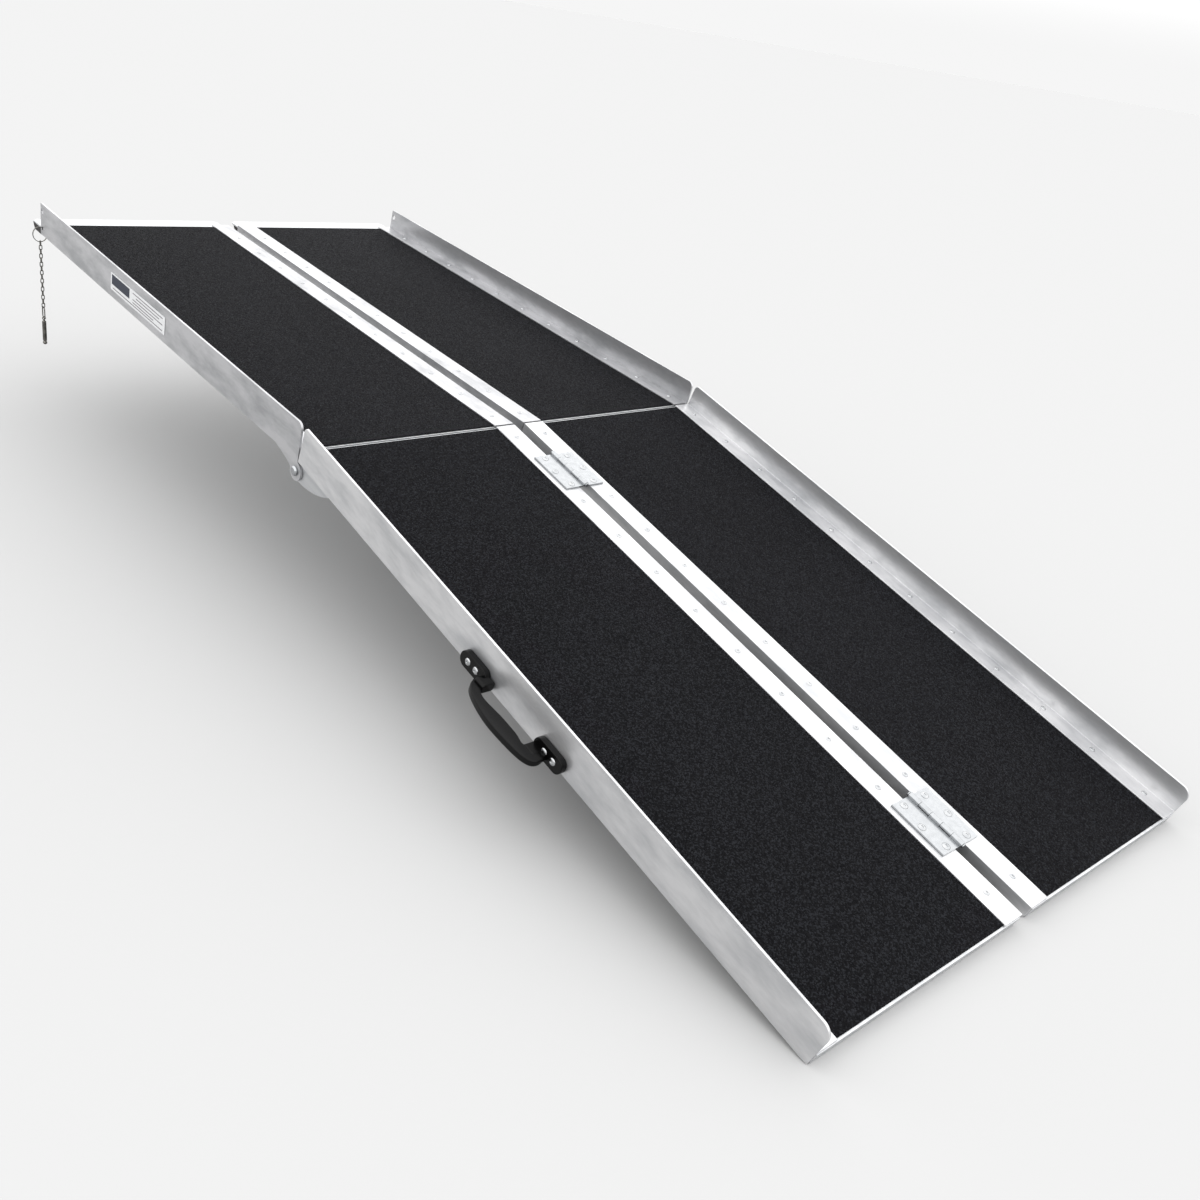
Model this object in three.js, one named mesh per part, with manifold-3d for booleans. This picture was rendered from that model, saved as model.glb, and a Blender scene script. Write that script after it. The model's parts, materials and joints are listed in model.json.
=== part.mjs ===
// A portable wheelchair ramp that folds twice: its upper half folds under its lower half,
// and then the left side closes over the right side like a suitcase.
// Units are millimetres. +Z is up, +X goes across the ramp, and +Y goes up the ramp.
// The origin is on the edge of the step that holds the top end up, midway across.

import * as THREE from 'three';
import { mergeVertices } from 'three/addons/utils/BufferGeometryUtils.js';
import Module from 'manifold-3d';

const wasm = await Module();
wasm.setup();

// ---- driving dimensions ------------------------------------------------------------------

const HALF_WIDTH = 362; // centre line to the outer face of a side rail
const HALF_LENGTH = 908; // fold line to either end of the ramp
const LOWER_SLOPE = THREE.MathUtils.degToRad(13.5);
const UPPER_SLOPE = THREE.MathUtils.degToRad(5.3);
const CLEAR = 0.3; // gap left between faces that touch

const WALL = 3; // webs of both rails
const RAIL_TOP = 34.5; // curb height over the tread
const RAIL_BOTTOM = -16.3;
const CURB_ROUND = { upper: { joint: 9, end: 3 }, lower: { joint: 6, end: 14 } };
const FLANGE = 2.5; // flange thickness of both rails
const FLANGE_TOP = 1.3;
const SPINE_GAP = 9.5; // centre line to the spine rail's web
const FOLD_GAP = 1.5; // fold line to the ends of the panels

const TREAD_INNER = 43.8;
const TREAD_OUTER = 329.4;
const TREAD_START = 4.5;
const TREAD_END = { upper: 861, lower: 905.4 };
const TREAD = 1.2; // thickness of the grit tape
const DECK = 2.5; // thickness of the deck sheet
const DECK_TOP = -TREAD - CLEAR;
const DECK_BOTTOM = DECK_TOP - DECK;
const DECK_INNER = SPINE_GAP + WALL + CLEAR;
const DECK_OUTER = HALF_WIDTH - WALL - CLEAR;

const UPPER_LENGTH = 868; // fold line to the end of the upper rails and deck
const LIP = 3;
const LIP_START = 848;
const LIP_TAB_OUTER = 350;
const LIP_CHAMFER = 7;
const LIP_TOP = DECK_BOTTOM - CLEAR;
const LIP_BOTTOM = LIP_TOP - LIP;
const PAD_TOP = LIP_BOTTOM - CLEAR;
const PAD_BOTTOM = -18;
const PAD_START = 869;
const PAD_END = 906;
const PAD_FRONT = 8; // how far the pad's sloping front leans back

const BAR_WALL = 2;
const BAR_TOP = DECK_BOTTOM - CLEAR;
const BAR_BOTTOM = -16;
const FOLD_BAR = { inner: 24, outer: 348, end: 22 };
const MIDDLE_BAR = { start: 430, end: 470 };
const END_BAR = 22;

const PIVOT_DROP = 30.6; // fold pivot below the tread, square to the lower deck
const EAR_RADIUS = 13;
const EAR_BACK = { pullS: 26, pullZ: -24, end: 60 }; // the curve from the ear back to the rail
const FOLD_PLATE = { start: 2, end: 84, endZ: -12, pullS: 66, pullZ: -30, sweep: 34, wrap: 1.44 };
const PIVOT_BORE = 4.3;
const BOLT_RADIUS = 3.9;
const BOLT_HEAD = { thick: 3.8, radius: 6.6, rim: 0.45, crown: 0.72 };
const NUT = { thick: 5, radius: 6.9 };
const ROUND = 24; // sides of a round hole or shank

const HINGE_CENTRES = { lower: -780, upper: -118 };
const HINGE_LENGTH = 76;
const KNUCKLES = 5;
const KNUCKLE_RADIUS = 3.5;
const LEAF = 2;
const LEAF_WIDTH = 34.5;
const LEAF_BOTTOM = FLANGE_TOP + CLEAR;
const SPINE_AXIS_Z = LEAF_BOTTOM + KNUCKLE_RADIUS;
const HINGE_PIN_RADIUS = 1.6;
const HINGE_BORE = 1.9;

const LOCK_HOLE = { s: 861, z: 22.5, radius: 4.5 };
const RING_HOLE = { s: 861, z: -5.5, radius: 3 };
const RING_RADIUS = 11.4;
const RING_WIRE = 1.1;
const TETHER_X = -HALF_WIDTH - 4.5; // the chain hangs just outside the rail
const CHAIN_LENGTH = 106;
const CHAIN_WIDTH = 5;
const LINK_LENGTH = 22;
const LINK_WIDTH = 12;
const LINK_WIRE = 2;
const LINK_GAP = 0.7; // room for the link's corners to swing under the chain
const PIN_LENGTH = 50;
const PIN_RADIUS = 3.6;
const PIN_EYE = { drop: 3.9, radius: 1.9 }; // top of the pin to the middle of its eye

const HANDLE_START = -377; // distances along the lower rail
const HANDLE_END = -558;
const HANDLE_TAB = { length: 44, high: 20, thick: 8 };
const HANDLE_Z = -6;
const GRIP = { wide: 15, high: 15 };
// The grip's middle line: distance off the rail, then distance along the rail.
const GRIP_ROUTE = [
  [5, -420], [17, -419], [27, -432], [29.5, -475], [27, -519], [18, -530], [5, -518],
];

const LABEL = { s0: 386, s1: 576, z0: -5, z1: 21.5, thick: 0.3 };

// ---- materials ---------------------------------------------------------------------------

const finish = (color, roughness, metalness) =>
  new THREE.MeshStandardMaterial({ color, roughness, metalness });
const ALUMINIUM = finish(0xc4c6c9, 0.42, 1);
const STEEL = finish(0xb4b6b9, 0.3, 1);
const GRIT = finish(0x26272a, 0.95, 0);
const RUBBER = finish(0x17140f, 0.85, 0);
const PLASTIC = finish(0x101011, 0.45, 0);
const VINYL = finish(0xf1f2f2, 0.4, 0);

// ---- helpers -----------------------------------------------------------------------------

// Turns a closed geometry into a solid that can be joined and cut.
function solid(geometry) {
  const bare = geometry.clone();
  bare.deleteAttribute('normal');
  bare.deleteAttribute('uv');
  const merged = mergeVertices(bare, 1e-4);
  return new wasm.Manifold(new wasm.Mesh({
    numProp: 3,
    vertProperties: new Float32Array(merged.attributes.position.array),
    triVerts: new Uint32Array(merged.index.array),
  }));
}

// Turns a solid back into a geometry.
function geometryOf(body) {
  const mesh = body.getMesh();
  const geometry = new THREE.BufferGeometry();
  geometry.setAttribute('position', new THREE.BufferAttribute(mesh.vertProperties, 3));
  geometry.setIndex(new THREE.BufferAttribute(mesh.triVerts, 1));
  geometry.computeVertexNormals();
  return geometry;
}

function join(...geometries) {
  return geometryOf(geometries.map(solid).reduce((sum, next) => sum.add(next)));
}

function cut(geometry, ...tools) {
  return geometryOf(tools.map(solid).reduce((rest, tool) => rest.subtract(tool), solid(geometry)));
}

// A box from its two corners.
function block(low, high) {
  const size = high.map((value, i) => value - low[i]);
  const centre = high.map((value, i) => (value + low[i]) / 2);
  return new THREE.BoxGeometry(...size).translate(...centre);
}

// A rod along X between two places.
function rodX(x0, x1, y, z, radius, sides = ROUND) {
  const rod = new THREE.CylinderGeometry(radius, radius, Math.abs(x1 - x0), sides);
  return rod.rotateZ(Math.PI / 2).translate((x0 + x1) / 2, y, z);
}

// A rod along Y between two places.
function rodY(y0, y1, x, z, radius, sides = 20) {
  const rod = new THREE.CylinderGeometry(radius, radius, Math.abs(y1 - y0), sides);
  return rod.translate(x, (y0 + y1) / 2, z);
}

const ACROSS = new THREE.Matrix4().makeBasis(
  new THREE.Vector3(0, 1, 0), new THREE.Vector3(0, 0, 1), new THREE.Vector3(1, 0, 0));

// A sheet that stands along the ramp: an outline in (Y, Z), thick along X.
function upright(outline, x0, x1) {
  const shape = new THREE.Shape(outline);
  const low = Math.min(x0, x1);
  const sheet = new THREE.ExtrudeGeometry(shape, { depth: Math.abs(x1 - x0), bevelEnabled: false });
  return sheet.applyMatrix4(ACROSS).translate(low, 0, 0);
}

// A sheet that lies on the ramp: an outline in (X, Y), thick along Z.
function lying(outline, z0, z1) {
  const shape = new THREE.Shape(outline);
  return new THREE.ExtrudeGeometry(shape, { depth: z1 - z0, bevelEnabled: false }).translate(0, 0, z0);
}

const point = (x, y) => new THREE.Vector2(x, y);

function piece(name, geometry, material) {
  const mesh = new THREE.Mesh(geometry, material);
  mesh.name = name;
  return mesh;
}

// Fold pivot, as distance from the fold line and height, in the frame of each half.
const BEND = LOWER_SLOPE - UPPER_SLOPE;
const PIVOT = {
  lower: { s: 0, z: -PIVOT_DROP },
  upper: { s: PIVOT_DROP * Math.sin(BEND), z: -PIVOT_DROP * Math.cos(BEND) },
};

// ---- rails -------------------------------------------------------------------------------

// Outline of a side rail's web. The upper rail ends in an ear that drops to the fold pivot.
function webOutline(half, top, jointRound, endRound, length) {
  const path = new THREE.Path();
  path.moveTo(length, RAIL_BOTTOM);
  if (endRound) {
    path.lineTo(length, top - endRound);
    path.absarc(length - endRound, top - endRound, endRound, 0, Math.PI / 2, false);
  } else {
    path.lineTo(length, top);
  }
  if (jointRound) {
    path.lineTo(FOLD_GAP + jointRound, top);
    path.absarc(FOLD_GAP + jointRound, top - jointRound, jointRound, Math.PI / 2, Math.PI, false);
  } else {
    path.lineTo(FOLD_GAP, top);
  }
  if (half === 'upper') {
    const { s, z } = PIVOT.upper;
    const lastAngle = Math.acos((FOLD_GAP - s) / EAR_RADIUS);
    path.lineTo(FOLD_GAP, z + EAR_RADIUS * Math.sin(lastAngle));
    path.absarc(s, z, EAR_RADIUS, lastAngle, Math.PI * 2, false);
    path.quadraticCurveTo(EAR_BACK.pullS, EAR_BACK.pullZ, EAR_BACK.end, RAIL_BOTTOM);
  } else {
    path.lineTo(FOLD_GAP, RAIL_BOTTOM);
  }
  return path.getPoints(10);
}

const along = (half) => (half === 'upper' ? 1 : -1);

// Removes points that repeat, and places an outline along its half of the ramp.
function place(outline, half) {
  const kept = outline.filter((p, i) => i === 0 || p.distanceTo(outline[i - 1]) > 1e-3);
  if (kept[0].distanceTo(kept[kept.length - 1]) < 1e-3) kept.pop();
  return kept.map((p) => point(along(half) * p.x, p.y));
}

// The pivot's bore, which only the upper rails have.
function pivotHoles(half, x0, x1) {
  return half === 'upper' ? [rodX(x0, x1, PIVOT.upper.s, PIVOT.upper.z, PIVOT_BORE)] : [];
}

function sideRail(half, side) {
  const length = half === 'upper' ? UPPER_LENGTH : HALF_LENGTH - 1;
  const outline = webOutline(half, RAIL_TOP, CURB_ROUND[half].joint, CURB_ROUND[half].end, length);
  const face = side * HALF_WIDTH;
  const inner = side * (HALF_WIDTH - WALL);
  const web = upright(place(outline, half), face, inner);
  const y = [FOLD_GAP, length].map((s) => along(half) * s).sort((a, b) => a - b);
  const x = [side * (TREAD_OUTER + CLEAR), side * (HALF_WIDTH - 1)].sort((a, b) => a - b);
  const flange = block([x[0], y[0], FLANGE_TOP - FLANGE], [x[1], y[1], FLANGE_TOP]);
  const tools = pivotHoles(half, face + side, inner - side);
  if (half === 'upper') {
    tools.push(rodX(face + side, inner - side, LOCK_HOLE.s, LOCK_HOLE.z, LOCK_HOLE.radius));
  }
  if (half === 'upper' && side < 0) {
    tools.push(rodX(face + side, inner - side, RING_HOLE.s, RING_HOLE.z, RING_HOLE.radius));
  }
  const rail = join(web, flange);
  return tools.length ? cut(rail, ...tools) : rail;
}

function spineRail(half, side) {
  const length = half === 'upper' ? UPPER_LENGTH : HALF_LENGTH - 1;
  const outline = webOutline(half, FLANGE_TOP, 0, 0, length);
  const face = side * SPINE_GAP;
  const inner = side * (SPINE_GAP + WALL);
  const web = upright(place(outline, half), face, inner);
  const y = [FOLD_GAP, length].map((s) => along(half) * s).sort((a, b) => a - b);
  const x = [side * (SPINE_GAP + 1), side * (TREAD_INNER - CLEAR)].sort((a, b) => a - b);
  const flange = block([x[0], y[0], FLANGE_TOP - FLANGE], [x[1], y[1], FLANGE_TOP]);
  const tools = pivotHoles(half, face - side, inner + side);
  const rail = join(web, flange);
  return tools.length ? cut(rail, ...tools) : rail;
}

// ---- decks, treads and bars --------------------------------------------------------------

// A flat sheet between two distances across and two distances from the fold line.
function sheet(half, side, x0, x1, s0, s1, z0, z1) {
  const x = [side * x0, side * x1].sort((a, b) => a - b);
  const y = [along(half) * s0, along(half) * s1].sort((a, b) => a - b);
  return block([x[0], y[0], z0], [x[1], y[1], z1]);
}

// A channel across the panel. Its open side faces down, or towards the far or near end.
function bar(half, side, x0, x1, s0, s1, top, open) {
  const z0 = BAR_BOTTOM;
  const whole = sheet(half, side, x0, x1, s0, s1, z0, top);
  const w = BAR_WALL;
  const past = 1;
  const hollows = {
    down: [s0 + w, s1 - w, z0 - past, top - w],
    far: [s0 + w, s1 + past, z0 + w, top - w],
    near: [s0 - past, s1 - w, z0 + w, top - w],
  };
  const [h0, h1, low, high] = hollows[open];
  return cut(whole, sheet(half, side, x0 - past, x1 + past, h0, h1, low, high));
}

function panel(half, side) {
  const name = `${half}_${side < 0 ? 'left' : 'right'}`;
  const upper = half === 'upper';
  const end = upper ? UPPER_LENGTH : HALF_LENGTH;
  const endBar = upper
    ? bar(half, side, DECK_INNER, LIP_TAB_OUTER, LIP_START, end, PAD_TOP, 'near')
    : bar(half, side, DECK_INNER, DECK_OUTER, end - END_BAR, end, BAR_TOP, 'near');
  return [
    piece(`${name}_deck`,
      sheet(half, side, DECK_INNER, DECK_OUTER, FOLD_GAP, end, DECK_BOTTOM, DECK_TOP), ALUMINIUM),
    piece(`${name}_tread`,
      sheet(half, side, TREAD_INNER, TREAD_OUTER, TREAD_START, TREAD_END[half], -TREAD, 0), GRIT),
    piece(`${name}_side_rail`, sideRail(half, side), ALUMINIUM),
    piece(`${name}_spine_rail`, spineRail(half, side), ALUMINIUM),
    piece(`${name}_fold_end_bar`,
      bar(half, side, FOLD_BAR.inner, FOLD_BAR.outer, FOLD_GAP, FOLD_BAR.end, BAR_TOP, 'far'),
      ALUMINIUM),
    piece(`${name}_middle_bar`,
      bar(half, side, DECK_INNER, DECK_OUTER, MIDDLE_BAR.start, MIDDLE_BAR.end, BAR_TOP, 'down'),
      ALUMINIUM),
    piece(`${name}_outer_end_bar`, endBar, ALUMINIUM),
  ];
}

// ---- fold pivots -------------------------------------------------------------------------

// The lower half's curved plate, riveted inside its rail, that the upper rail's ear turns on.
function foldPlateOutline() {
  const path = new THREE.Path();
  const { s, z } = PIVOT.lower;
  const top = DECK_BOTTOM - 0.5;
  path.moveTo(FOLD_PLATE.start, top);
  path.lineTo(FOLD_PLATE.end, top);
  path.lineTo(FOLD_PLATE.end, FOLD_PLATE.endZ);
  path.bezierCurveTo(FOLD_PLATE.pullS, FOLD_PLATE.pullZ, FOLD_PLATE.sweep, z - EAR_RADIUS, s, z - EAR_RADIUS);
  path.absarc(s, z, EAR_RADIUS, -Math.PI / 2, -Math.PI * FOLD_PLATE.wrap, true);
  return path.getPoints(12);
}

// A domed screw head with its shank, along X. The head is outside the rail.
function foldBolt(headFace, shankEnd, outward) {
  const shank = Math.abs(shankEnd - headFace);
  const { thick, radius, rim, crown } = BOLT_HEAD;
  const profile = [
    point(0, 0), point(BOLT_RADIUS, 0), point(BOLT_RADIUS, shank), point(radius, shank),
    point(radius, shank + thick * rim), point(radius * crown, shank + thick), point(0, shank + thick),
  ];
  const turned = new THREE.LatheGeometry(profile, ROUND);
  return turned.rotateZ(-outward * Math.PI / 2).translate(shankEnd, PIVOT.lower.s, PIVOT.lower.z);
}

function foldNut(x0, x1) {
  const nut = rodX(x0, x1, PIVOT.lower.s, PIVOT.lower.z, NUT.radius, 6);
  return cut(nut, rodX(x0 - 1, x1 + 1, PIVOT.lower.s, PIVOT.lower.z, PIVOT_BORE));
}

// One pivot: where is 'outer' at the side rail or 'inner' at the spine rail.
function foldPivot(side, where) {
  const name = `${side < 0 ? 'left' : 'right'}_${where}_fold`;
  // outward is the direction in which the screw's head faces.
  const outward = where === 'outer' ? side : -side;
  const face = side * (where === 'outer' ? HALF_WIDTH : SPINE_GAP);
  const step = (distance) => face - outward * distance;
  const plate = upright(place(foldPlateOutline(), 'lower'), step(WALL + CLEAR), step(2 * WALL + CLEAR));
  const plateX = [step(0), step(3 * WALL)].sort((a, b) => a - b);
  const bore = rodX(plateX[0], plateX[1], PIVOT.lower.s, PIVOT.lower.z, PIVOT_BORE);
  const nutFace = 2 * WALL + 2 * CLEAR;
  const nutX = [step(nutFace), step(nutFace + NUT.thick)].sort((a, b) => a - b);
  return [
    piece(`${name}_plate`, cut(plate, bore), ALUMINIUM),
    piece(`${name}_bolt`,
      foldBolt(step(-CLEAR), step(nutFace + CLEAR + NUT.thick), outward), STEEL),
    piece(`${name}_nut`, foldNut(nutX[0], nutX[1]), STEEL),
  ];
}

// ---- spine hinges ------------------------------------------------------------------------

// One leaf with its knuckles. The left leaf has the odd knuckles and the right leaf the even ones.
function hingeLeaf(side, centre) {
  const pitch = HINGE_LENGTH / KNUCKLES;
  const first = centre - HINGE_LENGTH / 2;
  const x = [side * (KNUCKLE_RADIUS + 0.4), side * LEAF_WIDTH].sort((a, b) => a - b);
  const parts = [block([x[0], first + 1, LEAF_BOTTOM], [x[1], first + HINGE_LENGTH - 1, LEAF_BOTTOM + LEAF])];
  for (let i = side < 0 ? 0 : 1; i < KNUCKLES; i += 2) {
    const y0 = first + i * pitch + CLEAR / 2;
    const y1 = first + (i + 1) * pitch - CLEAR / 2;
    const near = [0, side * (KNUCKLE_RADIUS + 1)].sort((a, b) => a - b);
    parts.push(rodY(y0, y1, 0, SPINE_AXIS_Z, KNUCKLE_RADIUS));
    parts.push(block([near[0], Math.max(y0, first + 1), LEAF_BOTTOM],
      [near[1], Math.min(y1, first + HINGE_LENGTH - 1), LEAF_BOTTOM + LEAF]));
  }
  const bore = rodY(first - 1, first + HINGE_LENGTH + 1, 0, SPINE_AXIS_Z, HINGE_BORE);
  return cut(join(...parts), bore);
}

function hingePin(centre) {
  const end = HINGE_LENGTH / 2 + CLEAR;
  const head = 1.4;
  return join(
    rodY(centre - end - 0.5, centre + end + 0.5, 0, SPINE_AXIS_Z, HINGE_PIN_RADIUS),
    rodY(centre - end - head, centre - end, 0, SPINE_AXIS_Z, KNUCKLE_RADIUS - 0.5),
    rodY(centre + end, centre + end + head, 0, SPINE_AXIS_Z, KNUCKLE_RADIUS - 0.5));
}

function spineHinge(name, centre) {
  return [
    piece(`${name}_hinge_left_leaf`, hingeLeaf(-1, centre), STEEL),
    piece(`${name}_hinge_right_leaf`, hingeLeaf(1, centre), STEEL),
    piece(`${name}_hinge_pin`, hingePin(centre), STEEL),
  ];
}

// ---- lips and their pads -----------------------------------------------------------------

// The plate that bridges from the deck to the step, with its two outer corners cut off.
function lip(side) {
  const inner = DECK_INNER + 3;
  const outer = HALF_WIDTH - 0.5;
  const chamfer = LIP_CHAMFER;
  const outline = [
    point(inner, LIP_START), point(LIP_TAB_OUTER, LIP_START), point(LIP_TAB_OUTER, UPPER_LENGTH + CLEAR),
    point(outer, UPPER_LENGTH + CLEAR), point(outer, HALF_LENGTH - chamfer),
    point(outer - chamfer, HALF_LENGTH), point(inner + chamfer, HALF_LENGTH),
    point(inner, HALF_LENGTH - chamfer),
  ].map((p) => point(side * p.x, p.y));
  return lying(outline, LIP_BOTTOM, LIP_TOP);
}

// The rubber strip under the lip, with a sloping front.
function lipPad(side) {
  const outline = [
    point(PAD_START, PAD_BOTTOM), point(PAD_END - PAD_FRONT, PAD_BOTTOM),
    point(PAD_END, PAD_TOP), point(PAD_START, PAD_TOP),
  ];
  return upright(outline, side * (DECK_INNER + 8), side * (HALF_WIDTH - 1));
}

// ---- handle, label and tether ------------------------------------------------------------

// One of the handle's flat tabs, a slot shape against the rail.
function handleTab(start, end) {
  const r = HANDLE_TAB.high / 2;
  const path = new THREE.Path();
  path.absarc(start - r, HANDLE_Z, r, -Math.PI / 2, Math.PI / 2, false);
  path.absarc(end + r, HANDLE_Z, r, Math.PI / 2, Math.PI * 1.5, false);
  const face = -HALF_WIDTH - CLEAR;
  return upright(place(path.getPoints(8), 'upper'), face, face - HANDLE_TAB.thick);
}

function carryHandle() {
  const route = new THREE.CatmullRomCurve3(
    GRIP_ROUTE.map(([off, y]) => new THREE.Vector3(-HALF_WIDTH - off, y, HANDLE_Z)));
  const section = new THREE.Shape();
  section.absellipse(0, 0, GRIP.high / 2, GRIP.wide / 2, 0, Math.PI * 2, false, 0);
  const grip = new THREE.ExtrudeGeometry(section,
    { steps: 36, curveSegments: 14, bevelEnabled: false, extrudePath: route });
  const behind = block([-HALF_WIDTH - CLEAR, HANDLE_END, HANDLE_Z - GRIP.high],
    [-HALF_WIDTH + GRIP.wide, HANDLE_START, HANDLE_Z + GRIP.high]);
  return cut(join(
    handleTab(HANDLE_START, HANDLE_START - HANDLE_TAB.length),
    handleTab(HANDLE_END + HANDLE_TAB.length, HANDLE_END),
    grip), behind);
}

function label() {
  const x = -HALF_WIDTH - CLEAR;
  return block([x - LABEL.thick, LABEL.s0, LABEL.z0], [x, LABEL.s1, LABEL.z1]);
}

// The ring threads its hole in the rail, level with the hole and hanging outside it.
function splitRing() {
  const sideways = TETHER_X + HALF_WIDTH - WALL / 2;
  const drop = Math.sqrt(RING_RADIUS ** 2 - sideways ** 2);
  const torus = new THREE.TorusGeometry(RING_RADIUS, RING_WIRE, 8, 32);
  return { geometry: torus.rotateX(Math.PI / 2), drop };
}

function endLink(top) {
  const r = LINK_WIDTH / 2;
  const straight = LINK_LENGTH - LINK_WIDTH;
  const loop = (radius) => {
    const path = new THREE.Path();
    path.absarc(0, top - r, radius, 0, Math.PI, false);
    path.absarc(0, top - r - straight, radius, Math.PI, Math.PI * 2, false);
    return path.getPoints(10);
  };
  const half = LINK_WIRE / 2;
  const outer = upright(place(loop(r), 'upper'), -half, half);
  const inner = upright(place(loop(r - LINK_WIRE), 'upper'), -half - 1, half + 1);
  return cut(outer, inner);
}

function lockPin(top) {
  const tip = top - PIN_LENGTH;
  const profile = [
    point(0, tip), point(2.4, tip + 0.8), point(4, tip + 3.2), point(3.7, tip + 5.6), point(3, tip + 6.6),
    point(PIN_RADIUS, tip + 8), point(PIN_RADIUS, top - 10), point(2.7, top - 8.5), point(2.7, top - 1),
    point(2, top), point(0, top),
  ];
  const body = new THREE.LatheGeometry(profile, 20).rotateX(Math.PI / 2);
  return cut(body, rodY(-LINK_WIDTH, LINK_WIDTH, 0, top - PIN_EYE.drop, PIN_EYE.radius, 12));
}

// ---- assembly ----------------------------------------------------------------------------

const ramp = new THREE.Group();

// The pads rest on the step at the origin, and both halves meet at the fold line.
const contact = new THREE.Vector3(0, (PAD_START + PAD_END - PAD_FRONT) / 2, PAD_BOTTOM);
const foldLine = contact.clone().applyAxisAngle(new THREE.Vector3(1, 0, 0), UPPER_SLOPE).negate();

const lowerHalf = new THREE.Group();
lowerHalf.position.copy(foldLine);
lowerHalf.rotation.x = LOWER_SLOPE;
const upperHalf = new THREE.Group();
upperHalf.position.copy(foldLine);
upperHalf.rotation.x = UPPER_SLOPE;
ramp.add(lowerHalf, upperHalf);

for (const side of [-1, 1]) {
  const word = side < 0 ? 'left' : 'right';
  lowerHalf.add(...panel('lower', side), ...foldPivot(side, 'outer'), ...foldPivot(side, 'inner'));
  upperHalf.add(...panel('upper', side));
  upperHalf.add(piece(`${word}_lip`, lip(side), ALUMINIUM));
  upperHalf.add(piece(`${word}_lip_pad`, lipPad(side), RUBBER));
}
for (const [name, centre] of Object.entries(HINGE_CENTRES)) {
  lowerHalf.add(...spineHinge(name, centre));
}
lowerHalf.add(piece('carry_handle', carryHandle(), PLASTIC));
upperHalf.add(piece('label', label(), VINYL));

// The tether hangs plumb from the ring hole in the upper left rail.
const hole = new THREE.Vector3(TETHER_X, RING_HOLE.s, RING_HOLE.z)
  .applyAxisAngle(new THREE.Vector3(1, 0, 0), UPPER_SLOPE).add(foldLine);
const tether = new THREE.Group();
tether.position.copy(hole);
ramp.add(tether);
const ring = splitRing();
const ringBottom = -ring.drop - RING_RADIUS - RING_WIRE;
const chainTop = ringBottom - CLEAR;
const chainEnd = chainTop - CHAIN_LENGTH;
const linkTop = chainEnd - LINK_GAP;
const pinTop = linkTop - LINK_LENGTH + LINK_WIRE / 2 + CLEAR + PIN_EYE.drop;
tether.add(piece('split_ring', ring.geometry.translate(0, 0, -ring.drop), STEEL));
tether.add(piece('tether_chain',
  new THREE.CylinderGeometry(CHAIN_WIDTH / 2, CHAIN_WIDTH / 2, CHAIN_LENGTH, 8)
    .rotateX(Math.PI / 2).translate(0, 0, (chainTop + chainEnd) / 2), STEEL));
tether.add(piece('end_link', endLink(linkTop), STEEL));
tether.add(piece('lock_pin', lockPin(pinTop), STEEL));

export default ramp;
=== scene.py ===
# %% [markdown]
# # A portable wheelchair ramp
# The ramp is four aluminium trays. Each pair folds at a pivot under the deck, and the left pair then closes
# over the right pair on two spine hinges. The CAD frame already holds every structural part at its real
# size. This script gives those parts their rounded edges and finishes, and adds what is too fine for the
# frame: the blind rivets, the chain's links, the moulded handle, the ribs of the rubber pads and the
# printed label.

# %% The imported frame
import json
import math

import bmesh
import bpy
from mathutils import Matrix, Vector

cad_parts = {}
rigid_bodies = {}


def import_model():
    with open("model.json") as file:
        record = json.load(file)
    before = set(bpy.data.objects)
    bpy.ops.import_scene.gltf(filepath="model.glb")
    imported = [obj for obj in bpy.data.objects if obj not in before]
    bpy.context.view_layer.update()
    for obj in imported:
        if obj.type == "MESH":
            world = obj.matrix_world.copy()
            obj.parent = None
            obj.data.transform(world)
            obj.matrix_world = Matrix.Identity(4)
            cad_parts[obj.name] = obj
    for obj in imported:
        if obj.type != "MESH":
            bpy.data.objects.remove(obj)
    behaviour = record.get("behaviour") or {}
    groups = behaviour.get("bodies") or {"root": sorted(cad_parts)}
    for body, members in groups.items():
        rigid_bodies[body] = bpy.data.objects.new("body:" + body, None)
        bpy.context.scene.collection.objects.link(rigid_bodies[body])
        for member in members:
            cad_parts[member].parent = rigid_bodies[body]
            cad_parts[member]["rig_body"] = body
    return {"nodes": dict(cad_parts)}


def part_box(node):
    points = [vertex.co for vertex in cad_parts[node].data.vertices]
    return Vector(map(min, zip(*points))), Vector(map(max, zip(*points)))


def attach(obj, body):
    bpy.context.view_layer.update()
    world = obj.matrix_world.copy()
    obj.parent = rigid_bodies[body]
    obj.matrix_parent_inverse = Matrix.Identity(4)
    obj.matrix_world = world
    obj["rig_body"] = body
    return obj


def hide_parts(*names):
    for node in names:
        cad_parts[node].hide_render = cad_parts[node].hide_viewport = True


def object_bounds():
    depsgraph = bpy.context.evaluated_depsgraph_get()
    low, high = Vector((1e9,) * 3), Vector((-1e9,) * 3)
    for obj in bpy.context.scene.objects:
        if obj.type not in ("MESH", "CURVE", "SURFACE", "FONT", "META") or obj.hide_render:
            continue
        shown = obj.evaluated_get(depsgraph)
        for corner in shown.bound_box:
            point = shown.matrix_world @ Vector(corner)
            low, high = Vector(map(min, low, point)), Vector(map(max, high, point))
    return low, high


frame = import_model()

CAD_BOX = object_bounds()
NODES = frame["nodes"]
MM = 0.001  # metres in a millimetre

# %% [markdown]
# ## Two sloping halves
# The lower half climbs more steeply than the upper half, so neither lies along the world's axes. Modelling
# a rail or a rivet row is far easier in a half's own millimetres: X across, Y up the ramp from the fold
# line, Z out of the tread. The two tread surfaces give both slopes, and they cross at the fold line, so one
# matrix for each half takes those millimetres to the frame's metres.

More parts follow.
